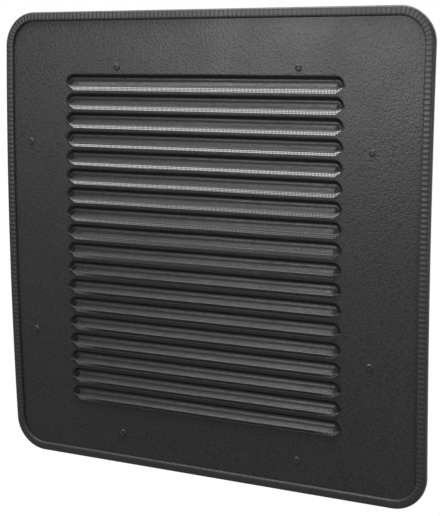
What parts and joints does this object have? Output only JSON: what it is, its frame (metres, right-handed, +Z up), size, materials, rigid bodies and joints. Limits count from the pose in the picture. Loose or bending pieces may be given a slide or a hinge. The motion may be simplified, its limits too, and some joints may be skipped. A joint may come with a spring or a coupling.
{
  "type": "window vent grille",
  "caption": "Square bowed vent panel for a vehicle window, with formed louvres, a clip-on edge trim and a riveted insect screen behind.",
  "frame": {"origin": "middle of the edge trim's flat bottom face", "axes": "+Z up along the panel, -Y out of the vehicle (the louvred face), +X to the right seen from outside"},
  "size_m": [0.45, 0.014, 0.45],
  "materials": {
    "panel": "fine leather grain, satin",
    "trim": "ribbed, semi-matte",
    "screen": "plain woven coated threads",
    "strip": "plain, satin",
    "rivet": "black coated, satin"
  },
  "bodies": {
    "root": {"louvre_panel": "panel", "edge_trim": "trim", "insect_screen": "screen", "screen_strip_top": "strip", "screen_strip_bottom": "strip", "screen_strip_left": "strip", "screen_strip_right": "strip", "rivet_top_left": "rivet", "rivet_top_right": "rivet", "rivet_bottom_left": "rivet", "rivet_bottom_right": "rivet", "rivet_left_lower": "rivet", "rivet_left_upper": "rivet", "rivet_right_lower": "rivet", "rivet_right_upper": "rivet"}
  },
  "joints": []
}
